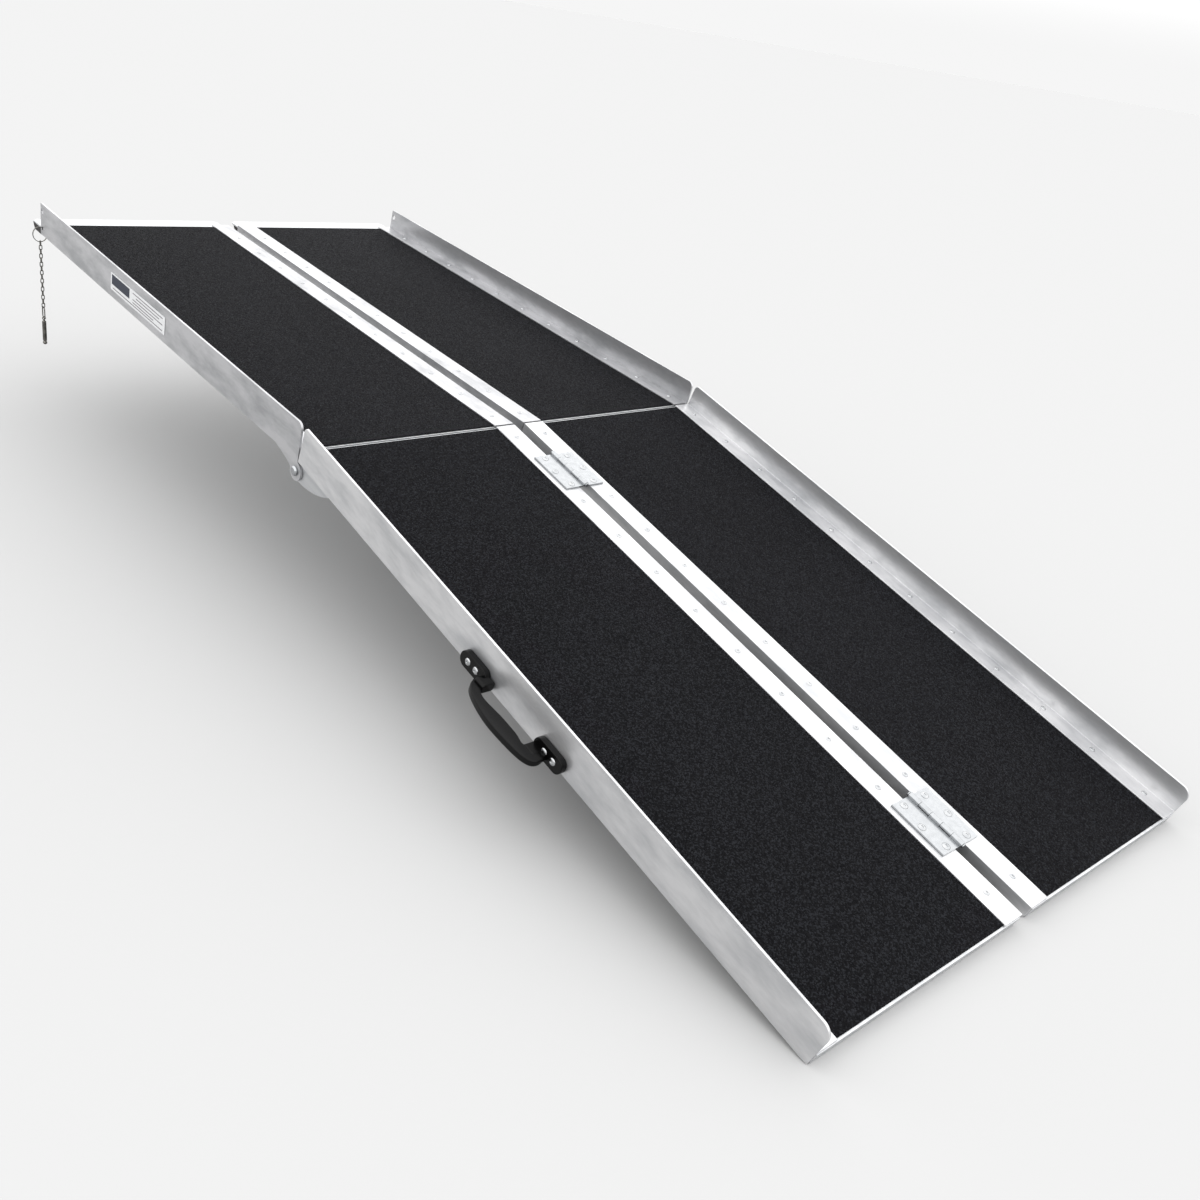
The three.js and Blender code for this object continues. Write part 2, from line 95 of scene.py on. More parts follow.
# %% Slopes, fold line and the matrix of each half
def top_plane(node):
    """The upward normal of a flat CAD node and how far along it the top face lies."""
    mesh = NODES[node].data
    normal = max((face.normal for face in mesh.polygons), key=lambda n: n.z).copy()
    return normal, max(normal.dot(vertex.co) for vertex in mesh.vertices)


planes = {half: top_plane(f"{half}_left_tread") for half in ("lower", "upper")}
SLOPE = {half: math.atan2(-normal.y, normal.z) for half, (normal, _) in planes.items()}
(low_normal, low_reach), (up_normal, up_reach) = planes.values()
turn = low_normal.y * up_normal.z - low_normal.z * up_normal.y
FOLD = Vector((
    0,
    (low_reach * up_normal.z - low_normal.z * up_reach) / turn,
    (low_normal.y * up_reach - low_reach * up_normal.y) / turn,
))
HALF = {
    half: Matrix.Translation(FOLD) @ Matrix.Rotation(slope, 4, "X") @ Matrix.Scale(MM, 4)
    for half, slope in SLOPE.items()
}
print({half: round(math.degrees(slope), 2) for half, slope in SLOPE.items()}, "degrees; fold line at", FOLD)


# %% [markdown]
# ### Measuring in those millimetres
# Sizes are read off the CAD nodes and not typed again, so that a finished piece always fits the part it
# stands for. A node's points go back through its half's matrix, and the lowest and highest values give its
# extent.

# %% Measuring a CAD node in a half's millimetres
def extent(node, half):
    """Lowest and highest corner of a CAD node in a half's own millimetres."""
    back = HALF[half].inverted()
    points = [back @ vertex.co for vertex in NODES[node].data.vertices]
    low = Vector([min(p[axis] for p in points) for axis in range(3)])
    high = Vector([max(p[axis] for p in points) for axis in range(3)])
    return low, high


rail_low, rail_high = extent("lower_left_side_rail", "lower")
HALF_WIDTH = -rail_low.x
print(f"the ramp is {2 * HALF_WIDTH:.0f} mm wide and its curbs stand {rail_high.z:.1f} mm above the tread")

# %% [markdown]
# ## Camera
# The view is from the low end's left side, at about table height, looking up the ramp and down at it. The
# lens is a moderate wide angle, which makes the low end reach towards the viewer, and the camera is rolled
# by nine degrees.

# %% The camera
CAMERA_PLACE = Vector((-1.0884, -2.0395, 0.4485))
CAMERA_TURN = 42.21  # degrees from looking up the ramp towards the right
CAMERA_DIP = 31.06  # degrees below the horizon
CAMERA_ROLL = 9.33
LENS = 34.08
SHIFT = (0.1198, 0.0697)

camera = bpy.data.objects.new("Camera", bpy.data.cameras.new("Camera"))
bpy.context.scene.collection.objects.link(camera)
bpy.context.scene.camera = camera
aim = (
    Matrix.Rotation(math.radians(-CAMERA_TURN), 4, "Z")
    @ Matrix.Rotation(math.radians(90 - CAMERA_DIP), 4, "X")
    @ Matrix.Rotation(math.radians(CAMERA_ROLL), 4, "Z")
)
camera.matrix_world = Matrix.Translation(CAMERA_PLACE) @ aim
camera.data.lens = LENS
camera.data.shift_x, camera.data.shift_y = SHIFT
print("camera at", CAMERA_PLACE, "with a lens of", LENS, "mm")

# %% [markdown]
# ## Floor and light
# Bare aluminium has no colour of its own: it shows what stands around it. The flanges are bright because
# they mirror the sky, and the rails' outer faces are grey because they mirror the floor. So the light is
# one even sky, more than twice as bright overhead as the floor looks. Near the horizon it fades to the
# floor's own brightness, and so no hard line shows behind the ramp, as with the curved backdrop of a
# photographic studio.

# %% The floor
FLOOR_REACH = 400.0  # metres from the middle to each edge
FLOOR_GAP = 0.2  # millimetres below the ramp
floor_mesh = bmesh.new()
bmesh.ops.create_grid(floor_mesh, x_segments=1, y_segments=1, size=FLOOR_REACH)
bmesh.ops.translate(floor_mesh, verts=floor_mesh.verts, vec=(0, 0, CAD_BOX[0].z - FLOOR_GAP * MM))
floor = bpy.data.objects.new("floor", bpy.data.meshes.new("floor"))
floor_mesh.to_mesh(floor.data)
floor_mesh.free()
bpy.context.scene.collection.objects.link(floor)
print(f"the floor is at {floor.data.vertices[0].co.z * 1000:.1f} mm")

# %% [markdown]
# ### An even sky
# A lamp would leave a bright spot in every flat flange. A sky whose strength depends only on the height
# above the horizon leaves none. The sine of that height is simply the Z part of the viewing direction.

# %% The sky
SKY_LOW = 0.92  # at the horizon
SKY_HIGH = 2.3  # overhead
SKY_RISE = (0.02, 0.24)  # how high the fade starts and ends, as the sine of the elevation
sky = bpy.data.worlds.new("Even studio sky")
bpy.context.scene.world = sky
sky.use_nodes = True
sky_nodes = sky.node_tree.nodes
direction = sky_nodes.new("ShaderNodeTexCoord").outputs["Generated"]
height = sky_nodes.new("ShaderNodeSeparateXYZ")
rise = sky_nodes.new("ShaderNodeMapRange")
rise.interpolation_type = "SMOOTHSTEP"
for socket, value in zip(("From Min", "From Max", "To Min", "To Max"), (*SKY_RISE, SKY_LOW, SKY_HIGH)):
    rise.inputs[socket].default_value = value
sky.node_tree.links.new(direction, height.inputs["Vector"])
sky.node_tree.links.new(height.outputs["Z"], rise.inputs["Value"])
sky.node_tree.links.new(rise.outputs["Result"], sky_nodes["Background"].inputs["Strength"])
sky_nodes["Background"].inputs["Color"].default_value = (1, 1, 1, 1)
bpy.context.scene.view_settings.view_transform = "Standard"
print("the sky's strength rises from", SKY_LOW, "to", SKY_HIGH)

# %% [markdown]
# ## Building materials
# A colour is written as the hex value that a paint chart gives, which is in sRGB, and the renderer wants it
# linear. Every pattern is made from the piece's own Object coordinates. Its Mapping node is set to Texture,
# which first turns the coordinates to lie along a half of the ramp and then divides them by a size, so a
# pattern's scale is simply its real size in millimetres.

# %% Colour and node helpers
def linear(hex_colour):
    """An sRGB hex colour as linear red, green, blue and a full alpha."""
    channels = [int(hex_colour[i:i + 2], 16) / 255 for i in (1, 3, 5)]
    curve = [c / 12.92 if c <= 0.04045 else ((c + 0.055) / 1.055) ** 2.4 for c in channels]
    return (*curve, 1.0)


def add(material, kind, settings=None, **inputs):
    """Adds a node. A setting is a property, "stops" fills a colour ramp, and an input is a value or a link."""
    node = material.node_tree.nodes.new(kind)
    for key, value in (settings or {}).items():
        if key == "stops":
            while len(node.color_ramp.elements) < len(value):
                node.color_ramp.elements.new(0.5)
            for element, (position, colour) in zip(node.color_ramp.elements, value):
                element.position = position
                element.color = colour
        else:
            setattr(node, key, value)
    for key, value in inputs.items():
        socket = node.inputs[int(key[1:])] if key[1:].isdigit() else node.inputs[key.replace("_", " ")]
        if isinstance(value, bpy.types.NodeSocket):
            material.node_tree.links.new(value, socket)
        else:
            socket.default_value = value
    return node


def new_finish(name, **sockets):
    """A material with its Principled shader's constant values set, and the shader."""
    material = bpy.data.materials.new(name)
    material.use_nodes = True
    shader = material.node_tree.nodes["Principled BSDF"]
    for key, value in sockets.items():
        shader.inputs[key.replace("_", " ")].default_value = value
    return material, shader


def pattern_space(material, size_mm, slope=0.0):
    """Object coordinates along one half of the ramp, divided by a size in millimetres."""
    place = add(material, "ShaderNodeTexCoord").outputs["Object"]
    sizes = [side * MM for side in size_mm]
    mapping = add(material, "ShaderNodeMapping", {"vector_type": "TEXTURE"},
                  Vector=place, Rotation=(slope, 0, 0), Scale=sizes)
    return mapping.outputs["Vector"]


def feed(material, shader, **links):
    """Links outputs to the shader's sockets."""
    for key, output in links.items():
        material.node_tree.links.new(output, shader.inputs[key.replace("_", " ")])


print("mid grey #808080 is", round(linear("#808080")[0], 3), "in linear light")

# %% [markdown]
# ### Mill-finish aluminium
# The rails are aluminium, usually the 6063 alloy, extruded through a die and left as drawn. The die scores
# hair-thin lines along the length, and handling leaves soft, cloudy smudges that are a little duller than
# the metal round them. The lines are about 0.2 mm apart, too fine to show, so they are drawn 0.9 mm apart.
# The shader is kept a little less than fully metallic, which suits the soft look of mill metal.

# %% The extrusion's finish, once for each half
DIE_LINE = (0.9, 260, 0.9)  # millimetres across, along and out of the ramp
SMUDGE = (34, 90, 26)
# The smudged and the clean tone of each half. The upper half's tones are painted darker as painted shade; its
# metal is the same as the lower half's.
MILL_TONES_UPPER_SHADED = {"lower": ("#aeafb1", "#cbcbcc"), "upper": ("#97989a", "#b6b6b8")}
MILL_METALLIC = 0.82


def mill_aluminium(half):
    """Extruded aluminium with die lines and cloudy smudges, laid along one half of the ramp."""
    material, shader = new_finish(f"Mill-finish aluminium extrusion, {half} half", Metallic=MILL_METALLIC)
    dull, clean_metal = MILL_TONES_UPPER_SHADED[half]
    lines = add(material, "ShaderNodeTexNoise", Vector=pattern_space(material, DIE_LINE, SLOPE[half]),
                Scale=1.0, Detail=3.0, Roughness=0.6)
    smudges = add(material, "ShaderNodeTexNoise", Vector=pattern_space(material, SMUDGE, SLOPE[half]),
                  Scale=1.0, Detail=4.0, Roughness=0.62)
    tone = add(material, "ShaderNodeValToRGB", {"stops": [(0.34, linear(dull)), (0.62, linear(clean_metal))]},
               Fac=smudges.outputs["Fac"])
    dullness = add(material, "ShaderNodeMapRange", Value=smudges.outputs["Fac"],
                   From_Min=0.3, From_Max=0.7, To_Min=0.42, To_Max=0.28)
    relief = add(material, "ShaderNodeBump", Strength=0.35, Distance=0.05 * MM, Height=lines.outputs["Fac"])
    feed(material, shader, Base_Color=tone.outputs["Color"], Roughness=dullness.outputs["Result"],
         Normal=relief.outputs["Normal"])
    return material


EXTRUSION = {half: mill_aluminium(half) for half in HALF}
print([material.name for material in EXTRUSION.values()])

# %% [markdown]
# ### Rolled aluminium sheet
# The decks, the lips, the fold plates and the cross bars come from rolled sheet. Rolling leaves a softer,
# more even satin than the extrusion die, with broad faint bands along the rolling direction.

# %% The sheet's finish, once for each half
ROLL_BAND = (7, 400, 7)
ROLL_GRAIN = (0.8, 24, 0.8)


def rolled_aluminium(half):
    """Rolled sheet with faint bands and a fine grain, laid along one half of the ramp."""
    material, shader = new_finish(f"Rolled aluminium sheet, {half} half", Metallic=1.0)
    bands = add(material, "ShaderNodeTexNoise", Vector=pattern_space(material, ROLL_BAND, SLOPE[half]),
                Scale=1.0, Detail=2.0)
    grain = add(material, "ShaderNodeTexNoise", Vector=pattern_space(material, ROLL_GRAIN, SLOPE[half]),
                Scale=1.0, Detail=3.0)
    tone = add(material, "ShaderNodeValToRGB",
               {"stops": [(0.35, linear("#b3b5b7")), (0.65, linear("#c6c7c8"))]},
               Fac=bands.outputs["Fac"])
    dullness = add(material, "ShaderNodeMapRange", Value=grain.outputs["Fac"],
                   From_Min=0.3, From_Max=0.7, To_Min=0.36, To_Max=0.46)
    relief = add(material, "ShaderNodeBump", Strength=0.2, Distance=0.04 * MM, Height=grain.outputs["Fac"])
    feed(material, shader, Base_Color=tone.outputs["Color"], Roughness=dullness.outputs["Result"],
         Normal=relief.outputs["Normal"])
    return material


SHEET = {half: rolled_aluminium(half) for half in HALF}
print([material.name for material in SHEET.values()])

# %% [markdown]
# ### Grit tape
# The tread is anti-slip tape: silicon carbide grains glued to a black film under a thin resin coat. Almost
# no light comes back, but each grain turns its own way, so the surface sparkles in tiny points. A Voronoi
# pattern gives one cell to each grain. The lighter grain tones are partly the grains' own tone and partly
# painted glints. The real grains are near 0.5 mm, and here a cell is 1.5 mm so that the speckle still shows.

# %% The tread's finish
GRAIN = (1.5, 1.5, 1.5)
CLUMP = (9, 9, 9)
TREAD_PATCH = (160, 240, 160)


def grit_tape(half):
    """Near-black tape with one Voronoi cell to each grain, laid along one half of the ramp."""
    material, shader = new_finish(f"Silicon carbide grit tape, {half} half", Specular_IOR_Level=0.04, IOR=1.5)
    grains = add(material, "ShaderNodeTexVoronoi", {"feature": "F1"},
                 Vector=pattern_space(material, GRAIN, SLOPE[half]), Scale=1.0)
    clumps = add(material, "ShaderNodeTexNoise", Vector=pattern_space(material, CLUMP, SLOPE[half]),
                 Scale=1.0, Detail=2.0)
    patches = add(material, "ShaderNodeTexNoise", Vector=pattern_space(material, TREAD_PATCH, SLOPE[half]),
                  Scale=1.0, Detail=1.0)
    pick = add(material, "ShaderNodeSeparateColor", Color=grains.outputs["Color"])
    lift = add(material, "ShaderNodeMath", {"operation": "MULTIPLY_ADD"},
               _0=clumps.outputs["Fac"], _1=0.15, _2=pick.outputs["Red"])
    spread = add(material, "ShaderNodeMath", {"operation": "MULTIPLY_ADD"},
                 _0=patches.outputs["Fac"], _1=0.25, _2=lift.outputs["Value"])
    # The lightest stop is partly the grains' own tone and partly painted glints on grains turned to the light.
    tone = add(material, "ShaderNodeValToRGB",
               {"stops": [(0.25, linear("#070709")), (0.85, linear("#0d0d0f")),
                          (1.0, linear("#1b1c1f"))]}, Fac=spread.outputs["Value"])
    gloss = add(material, "ShaderNodeMapRange", Value=pick.outputs["Green"],
                From_Min=0.0, From_Max=1.0, To_Min=0.98, To_Max=0.62)
    relief = add(material, "ShaderNodeBump", {"invert": True}, Strength=0.8, Distance=0.45 * MM,
                 Height=grains.outputs["Distance"])
    feed(material, shader, Base_Color=tone.outputs["Color"], Roughness=gloss.outputs["Result"],
         Normal=relief.outputs["Normal"])
    return material


GRIT = {half: grit_tape(half) for half in HALF}
print([material.name for material in GRIT.values()])

# %% [markdown]
# ### Zinc plate, moulded plastic, rubber, vinyl and floor paint
# The hinges and bolts are zinc-plated steel: a neutral grey, smoother than the aluminium, with faint
# crystals in the plating. The tether is nickel plate, painted dark as a painted reflection of dark
# surroundings, and the rivets are satin aluminium. The handle is moulded nylon with a fine grain. The pads
# are black rubber with a brownish bloom, and the label is printed vinyl film.

# %% The small finishes
CRYSTAL = (6, 6, 6)
PRINT_MOTTLE = (3, 3, 3)
MOULD_GRAIN = (0.6, 0.6, 0.6)
RUBBER_BLOOM = (6, 6, 6)


def hardware_metal(name, dark, light, smoothest, dullest):
    """The metal of small hardware, between two tones and two roughness values."""
    material, shader = new_finish(name, Metallic=1.0)
    crystals = add(material, "ShaderNodeTexNoise", Vector=pattern_space(material, CRYSTAL),
                   Scale=1.0, Detail=3.0)
    tone = add(material, "ShaderNodeValToRGB", {"stops": [(0.35, linear(dark)), (0.65, linear(light))]},
               Fac=crystals.outputs["Fac"])
    dullness = add(material, "ShaderNodeMapRange", Value=crystals.outputs["Fac"],
                   From_Min=0.3, From_Max=0.7, To_Min=smoothest, To_Max=dullest)
    relief = add(material, "ShaderNodeBump", Strength=0.04, Distance=0.03 * MM,
                 Height=crystals.outputs["Fac"])
    feed(material, shader, Base_Color=tone.outputs["Color"], Roughness=dullness.outputs["Result"],
         Normal=relief.outputs["Normal"])
    return material


def moulded_nylon():
    """Black nylon with a fine moulded grain."""
    material, shader = new_finish("Black moulded nylon", Roughness=0.26, IOR=1.5, Specular_IOR_Level=0.14)
    grain = add(material, "ShaderNodeTexNoise", Vector=pattern_space(material, MOULD_GRAIN), Scale=1.0,
                Detail=2.0)
    tone = add(material, "ShaderNodeValToRGB",
               {"stops": [(0.3, linear("#030303")), (0.7, linear("#060606"))]},
               Fac=grain.outputs["Fac"])
    relief = add(material, "ShaderNodeBump", Strength=0.25, Distance=0.08 * MM, Height=grain.outputs["Fac"])
    feed(material, shader, Base_Color=tone.outputs["Color"], Normal=relief.outputs["Normal"])
    return material


def black_rubber():
    """Black rubber with a faint brownish bloom."""
    material, shader = new_finish("Black EPDM rubber", IOR=1.52)
    bloom = add(material, "ShaderNodeTexNoise", Vector=pattern_space(material, RUBBER_BLOOM), Scale=1.0,
                Detail=4.0)
    tone = add(material, "ShaderNodeValToRGB",
               {"stops": [(0.35, linear("#0c0908")), (0.75, linear("#1a1412"))]},
               Fac=bloom.outputs["Fac"])
    dullness = add(material, "ShaderNodeMapRange", Value=bloom.outputs["Fac"],
                   From_Min=0.3, From_Max=0.7, To_Min=0.62, To_Max=0.85)
    feed(material, shader, Base_Color=tone.outputs["Color"], Roughness=dullness.outputs["Result"])
    return material


def printed_vinyl(name, hex_colour, darker):
    """Label film or ink, with the faint mottle of a print."""
    material, shader = new_finish(name, Roughness=0.3, IOR=1.5, Specular_IOR_Level=0.2)
    mottle = add(material, "ShaderNodeTexNoise", Vector=pattern_space(material, PRINT_MOTTLE), Scale=1.0,
                 Detail=2.0)
    tone = add(material, "ShaderNodeValToRGB", {"stops": [(0.3, linear(darker)), (0.7, linear(hex_colour))]},
               Fac=mottle.outputs["Fac"])
    feed(material, shader, Base_Color=tone.outputs["Color"])
    return material


ZINC = hardware_metal("Bright zinc plate on steel", "#9fa1a3", "#a8aaac", 0.2, 0.26)
# The tether's tones are painted dark: a painted reflection of dark surroundings, not the plate's own colour.
NICKEL_PAINTED_DARK = hardware_metal("Nickel plate on the tether, painted dark reflection", "#4f4e4b", "#72706b", 0.16, 0.24)
RIVET = hardware_metal("Satin aluminium rivet", "#9fa1a3", "#b2b3b4", 0.2, 0.32)
NYLON = moulded_nylon()
RUBBER = black_rubber()
FILM = printed_vinyl("White vinyl film", "#c9cacb", "#bfc0c1")
NAVY = printed_vinyl("Navy print", "#101a2e", "#0c1424")
ROWS = printed_vinyl("Grey print", "#6a666a", "#5d595d")
floor_paint, _ = new_finish("Matt pale floor paint", Base_Color=linear("#a9a9a9"), Roughness=0.9,
                            Specular_IOR_Level=0.0)
floor.data.materials.append(floor_paint)
print("hardware metals, nylon, rubber, vinyl and floor paint are ready")


# %% [markdown]
# ## Finishing a piece
# Every new piece ends the same way. Its shape is worked out in millimetres, cleaned of doubled points,
# turned right side out, and taken to the frame by one matrix, so the object itself stays at the origin.
# Flat faces next to a small rounded edge would pick up a false gradient, so a Weighted Normal modifier
# keeps the large faces flat.

# %% One function that finishes a piece
PIECES = []
CREASE = 38.0  # degrees: a sharper edge than this is drawn sharp


def finish_piece(name, bm, place, materials, body, replaced=()):
    """Makes the bmesh an object that rides a body, wears its materials and stands for CAD nodes."""
    bm.transform(place)
    mesh = bpy.data.meshes.new(name)
    bm.to_mesh(mesh)
    bm.free()
    mesh.polygons.foreach_set("use_smooth", [True] * len(mesh.polygons))
    mesh.set_sharp_from_angle(angle=math.radians(CREASE))
    for material in materials:
        mesh.materials.append(material)
    piece = bpy.data.objects.new(name, mesh)
    bpy.context.scene.collection.objects.link(piece)
    shading = piece.modifiers.new("Flat faces stay flat", "WEIGHTED_NORMAL")
    shading.keep_sharp = True
    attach(piece, body)
    if replaced:
        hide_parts(*replaced)
    PIECES.append(piece)
    return piece


def body_of_node(node):
    """The body that a CAD node rides on."""
    return NODES[node]["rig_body"]


def clean(bm, gap=0.001):
    """Merges doubled points and turns every face outwards."""
    bmesh.ops.remove_doubles(bm, verts=bm.verts, dist=gap)
    bmesh.ops.recalc_face_normals(bm, faces=bm.faces)


# %% [markdown]
# ## Edges that catch the light
# A CAD edge is perfectly sharp, and a real extruded or sawn edge never is: it has a radius of about half a
# millimetre, which draws a thin bright line in any view. A copy of each aluminium and plated node has its
# triangles merged back into flat faces, and then only its sharp edges are bevelled. The copy stands for the
# node.

# %% Rounding the edges of a CAD node's copy
FLAT = math.radians(0.6)
EDGE = math.radians(34)


def rounded_copy(node, radius, material, name, segments=2):
    """A copy of a CAD node with its sharp edges rounded to a radius in millimetres."""
    bm = bmesh.new()
    bm.from_mesh(NODES[node].data)
    bmesh.ops.remove_doubles(bm, verts=bm.verts, dist=0.02 * MM)
    bmesh.ops.dissolve_limit(bm, angle_limit=FLAT, verts=bm.verts, edges=bm.edges)
    corners = [edge for edge in bm.edges if edge.is_manifold and edge.calc_face_angle() > EDGE]
    bmesh.ops.bevel(bm, geom=corners, offset=radius * MM, offset_type="OFFSET", segments=segments,
                    profile=0.5, affect="EDGES", material=-1, clamp_overlap=True)
    return finish_piece(name, bm, Matrix.Identity(4), [material], body_of_node(node), [node])


SIDES = {"left": -1, "right": 1}
for half in HALF:
    for side in SIDES:
        tray = f"{half}_{side}"
        for part in ("side_rail", "spine_rail"):
            rounded_copy(f"{tray}_{part}", 0.5, EXTRUSION[half], f"{tray}_{part}_extrusion")
        rounded_copy(f"{tray}_deck", 0.3, SHEET[half], f"{tray}_deck_sheet")
        for part in ("fold_end_bar", "middle_bar", "outer_end_bar"):
            rounded_copy(f"{tray}_{part}", 0.45, SHEET[half], f"{tray}_{part}_channel")
        NODES[f"{tray}_tread"].data.materials.clear()
        NODES[f"{tray}_tread"].data.materials.append(GRIT[half])
for side in SIDES:
    for place in ("outer", "inner"):
        pivot = f"{side}_{place}"
        rounded_copy(f"{pivot}_fold_plate", 0.4, SHEET["lower"], f"{pivot}_pivot_plate")
print(len(PIECES), "rounded copies of the trays' metal")

# %% [markdown]
# ## Blind rivets
# The flanges are fixed to the decks with blind rivets, set from above with a rivet gun. The head is a low
# dome with a dimple where the steel mandrel snapped off, and under the deck the tail has swollen into a
# bulb. One profile spun round its axis makes the whole rivet, and it is stamped along each flange at an
# even pitch.

# %% The rivet's profile and the stamp
RIVET_PITCH = 76.4
SPIN_STEPS = 18


def rivet_pattern(head, height, grip, shank=2.0, tail=4.2):
    """A blind rivet on Z with its head's seat at zero. The grip is the thickness that it clamps."""
    dimple = 0.34 * head
    profile = [
        (0, height * 0.45), (dimple * 0.75, height * 0.45), (dimple, height * 0.95), (dimple * 1.25, height),
        (head * 0.72, height * 0.8), (head * 0.93, height * 0.42), (head, 0.12), (head * 0.97, 0), (shank, 0),
        (shank, -grip), (shank * 1.45, -grip - tail * 0.2), (shank * 1.4, -grip - tail * 0.6),
        (shank * 0.8, -grip - tail), (0, -grip - tail),
    ]
    return spun(profile, SPIN_STEPS)


def spun(profile, steps):
    """A mesh of a profile of (radius, height) points turned round Z."""
    bm = bmesh.new()
    points = [bm.verts.new((radius, 0, height)) for radius, height in profile]
    edges = [bm.edges.new(pair) for pair in zip(points, points[1:])]
    bmesh.ops.spin(bm, geom=points + edges, cent=(0, 0, 0), axis=(0, 0, 1), dvec=(0, 0, 0),
                   angle=math.tau, steps=steps, use_merge=True, use_duplicate=False)
    clean(bm)
    mesh = bpy.data.meshes.new("pattern")
    bm.to_mesh(mesh)
    bm.free()
    return mesh


def stamp(bm, mesh, place):
    """Adds a copy of a mesh to the bmesh at a matrix."""
    before = len(bm.verts)
    bm.from_mesh(mesh)
    bm.verts.ensure_lookup_table()
    bmesh.ops.transform(bm, matrix=place, verts=bm.verts[before:])


FLANGE_RIVET = rivet_pattern(head=3.7, height=1.3, grip=5.3)
print("one rivet has", len(FLANGE_RIVET.polygons), "faces")

# %% [markdown]
# ### Rows of rivets
# Every flange has its rivets at the same pitch, counted from the fold line. Rivets that would sit under a
# hinge leaf are left out, since the leaf covers that place and has rivets of its own. A row rides the same
# body as its rail.

# %% Rivet rows on the flanges
FIRST_RIVET = 30.1  # from the fold line to the first rivet
END_CLEAR = 20.0  # no rivet closer than this to the rail's far end
FLANGE_TOP = 1.3  # the flange's upper face, above the tread
LEAF_MARGIN = 4
hinge_spans = [extent(f"{name}_hinge_left_leaf", "lower") for name in ("lower", "upper")]


def under_a_hinge(y):
    """Whether a rivet at this distance up the ramp would sit under a hinge leaf."""
    return any(low.y - LEAF_MARGIN < y < high.y + LEAF_MARGIN for low, high in hinge_spans)


for half in HALF:
    way = 1 if half == "upper" else -1
    for side, sign in SIDES.items():
        tread_low, tread_high = extent(f"{half}_{side}_tread", half)
        inner, outer = sorted((abs(tread_low.x), abs(tread_high.x)))
        for part in ("side_rail", "spine_rail"):
            node = f"{half}_{side}_{part}"
            low, high = extent(node, half)
            reach = max(abs(low.y), abs(high.y)) - END_CLEAR
            if part == "spine_rail":
                near, far = min(abs(low.x), abs(high.x)), inner
            else:
                near, far = outer, HALF_WIDTH
            x = sign * (near + far) / 2
            row = bmesh.new()
            distance = FIRST_RIVET
            while distance < reach:
                y = way * distance
                if not (part == "spine_rail" and half == "lower" and under_a_hinge(y)):
                    stamp(row, FLANGE_RIVET, Matrix.Translation((x, y, FLANGE_TOP)))
                distance += RIVET_PITCH
            finish_piece(f"{node}_rivets", row, HALF[half], [RIVET], body_of_node(node))
print(f"rivets every {RIVET_PITCH} mm on eight flanges")

# %% [markdown]
# ## Spine hinges
# Two butt hinges join the left side to the right side along the spine. Their leaves lie on the flanges, and
# five rolled knuckles share one pin. The leaf's copy needs only its rounded edges, and each leaf has three
# larger rivets in a shallow zigzag.

# %% The hinges and their rivets
LEAF_RIVET = rivet_pattern(head=4.9, height=1.6, grip=7.6)
LEAF_RIVET_STEP = 30.0
LEAF_RIVET_NEAR = 20.5  # from the barrel's axis to the end rivets and to the middle one
LEAF_RIVET_FAR = 26.0
LEAF_THICK = 2.0

for name in ("lower", "upper"):
    rounded_copy(f"{name}_hinge_pin", 0.3, ZINC, f"{name}_hinge_pin_turned")
    for side, sign in SIDES.items():
        node = f"{name}_hinge_{side}_leaf"
        rounded_copy(node, 0.3, ZINC, f"{node}_plated")
        low, high = extent(node, "lower")
        row = bmesh.new()
        leaf_top = low.z + LEAF_THICK
        for step in (-1, 0, 1):
            x = sign * (LEAF_RIVET_NEAR if step else LEAF_RIVET_FAR)
            y = (low.y + high.y) / 2 + step * LEAF_RIVET_STEP
            stamp(row, LEAF_RIVET, Matrix.Translation((x, y, leaf_top)))
        finish_piece(f"{node}_rivets", row, HALF["lower"], [RIVET], body_of_node(node))
print("two hinges with twelve rivets")

# %% [markdown]
# ## Fold pivots
# The upper rails turn on four screws with low domed heads, held by nuts behind the curved plates. The CAD
# bolts are already turned shapes, so rounded copies keep their place and size.

# %% Pivot screws and nuts
for side in SIDES:
    for place in ("outer", "inner"):
        for part in ("bolt", "nut"):
            node = f"{side}_{place}_fold_{part}"
            rounded_copy(node, 0.35, ZINC, f"{node}_plated")
print("four pivot screws and nuts")

# %% [markdown]
# ## Lips and rubber pads
# A 3 mm plate bridges from each upper deck to the step. Under it a rubber strip stops the ramp from sliding
# and from marking the step. The strip is extruded with small ribs on its sole, so its outline is drawn once
# with the ribs worked out by a loop, and then extruded across the ramp.

# %% The lips and the ribbed pads
RIB_COUNT = 7
RIB_DEPTH = 1.4


def ribbed_outline(low, high, front):
    """The pad's side view: a sole of square ribs, a sloping front and a flat top."""
    sole = [(low.y, low.z)]
    pitch = (high.y - front - low.y) / (2 * RIB_COUNT + 1)
    for rib in range(RIB_COUNT):
        start = low.y + (2 * rib + 1) * pitch
        sole += [(start, low.z), (start + 0.15 * pitch, low.z + RIB_DEPTH),
                 (start + 0.85 * pitch, low.z + RIB_DEPTH), (start + pitch, low.z)]
    return sole + [(high.y - front, low.z), (high.y, high.z), (low.y, high.z)]


